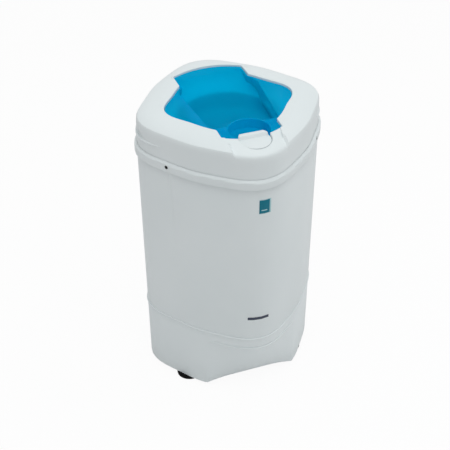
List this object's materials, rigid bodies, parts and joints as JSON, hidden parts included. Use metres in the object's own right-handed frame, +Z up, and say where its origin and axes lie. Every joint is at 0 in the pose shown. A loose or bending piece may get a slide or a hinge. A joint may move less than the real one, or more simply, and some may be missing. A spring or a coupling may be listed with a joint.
{
  "type": "laundry spin dryer",
  "caption": "Tall white spin dryer with a rounded square cabinet standing corner forwards, a translucent blue lid, a turning latch and a spinning drum.",
  "frame": {"origin": "on the floor under the middle of the cabinet", "axes": "+Z up, the latch corner faces -Y, +X to the right as seen from the front"},
  "size_m": [0.402, 0.42, 0.644],
  "materials": {
    "white_moulding": "smooth, softly glossy white",
    "blue_clear": "translucent blue",
    "label": "plain printed film",
    "badge": "plain dark bar",
    "black_rubber": "matt",
    "grey_moulding": "satin",
    "dark_moulding": "satin",
    "tub_moulding": "satin",
    "white_inner": "satin",
    "red_moulding": "satin",
    "stainless": "brushed",
    "cast_alloy": "as cast",
    "can": "plain drawn can",
    "copper": "varnished wire",
    "lamination": "laminated steel",
    "cast": "turned",
    "lining": "brake lining",
    "painted_steel": "satin grey",
    "black_steel": "blackened",
    "zinc_steel": "zinc plated"
  },
  "bodies": {
    "cabinet": {"base": "white_moulding", "shell": "white_moulding", "top_frame": "white_moulding", "frame_screws": "black_steel", "foot_front_left": "black_rubber", "foot_front_right": "black_rubber", "foot_back_left": "black_rubber", "foot_back_right": "black_rubber", "foot_screws": "zinc_steel", "tub": "tub_moulding", "throat_ring": "grey_moulding", "shaft_seal": "black_rubber", "drain_hose": "black_rubber", "drain_elbow": "grey_moulding", "buffer_right": "black_rubber", "buffer_left": "black_rubber", "buffer_front": "black_rubber", "buffer_bolts": "zinc_steel", "buffer_nuts": "zinc_steel", "motor_cradle": "painted_steel", "motor_bolts": "zinc_steel", "motor_bell_lower": "cast_alloy", "stator": "lamination", "windings": "copper", "motor_bell_upper": "cast_alloy", "bearing_lower": "zinc_steel", "bearing_upper": "zinc_steel", "brake_bracket": "painted_steel", "brake_pin": "zinc_steel", "capacitor": "can", "capacitor_clamp": "painted_steel", "terminal_block": "white_inner", "cord_gland": "dark_moulding", "gland_nut": "dark_moulding", "hinge_pin_left": "zinc_steel", "hinge_pin_right": "zinc_steel", "lid_switch": "dark_moulding", "front_label": "label", "front_badge": "badge"},
    "drum": {"drum_basket": "stainless", "balance_ring": "white_inner", "drum_hub": "cast_alloy", "hub_nut": "zinc_steel", "motor_shaft": "zinc_steel", "rotor": "lamination", "brake_disc": "cast", "cooling_fan": "dark_moulding"},
    "lid": {"lid": "blue_clear"},
    "latch": {"latch_knob": "white_moulding", "latch_cam": "grey_moulding", "latch_screw": "zinc_steel"},
    "brake_arm": {"brake_lever": "painted_steel", "brake_shoe": "lining", "brake_spring": "zinc_steel"},
    "pull_rod": {"brake_rod": "zinc_steel"},
    "plunger": {"switch_plunger": "red_moulding"}
  },
  "joints": [
    {"name": "drum_spin", "type": "hinge", "parent": "cabinet", "child": "drum", "pos_m": [0, 0, 0.2], "axis": [0, 0, 1], "continuous": true},
    {"name": "lid_hinge", "type": "hinge", "parent": "cabinet", "child": "lid", "pos_m": [0, 0.128, 0.6365], "axis": [-1, 0, 0], "range_deg": [0, 95]},
    {"name": "latch_turn", "type": "hinge", "parent": "lid", "child": "latch", "pos_m": [0, -0.148, 0.62], "axis": [0, 0, 1], "range_deg": [0, 180]},
    {"name": "brake_rod_lift", "type": "slide", "parent": "cabinet", "child": "pull_rod", "axis": [0, 0, 1], "range_m": [0, 0.006]},
    {"name": "brake_swing", "type": "hinge", "parent": "cabinet", "child": "brake_arm", "pos_m": [0, -0.075, 0.172], "axis": [-1, 0, 0], "range_deg": [0, 3.6]},
    {"name": "switch_press", "type": "slide", "parent": "cabinet", "child": "plunger", "axis": [-1, 0, 0], "range_m": [0, 0.003]}
  ],
  "couplings": [
    {"joint": "brake_rod_lift", "follows": "latch_turn", "m_per_rad": 0.0019},
    {"joint": "brake_swing", "follows": "latch_turn", "ratio": 0.0197},
    {"joint": "switch_press", "follows": "latch_turn", "m_per_rad": 0.00095}
  ]
}
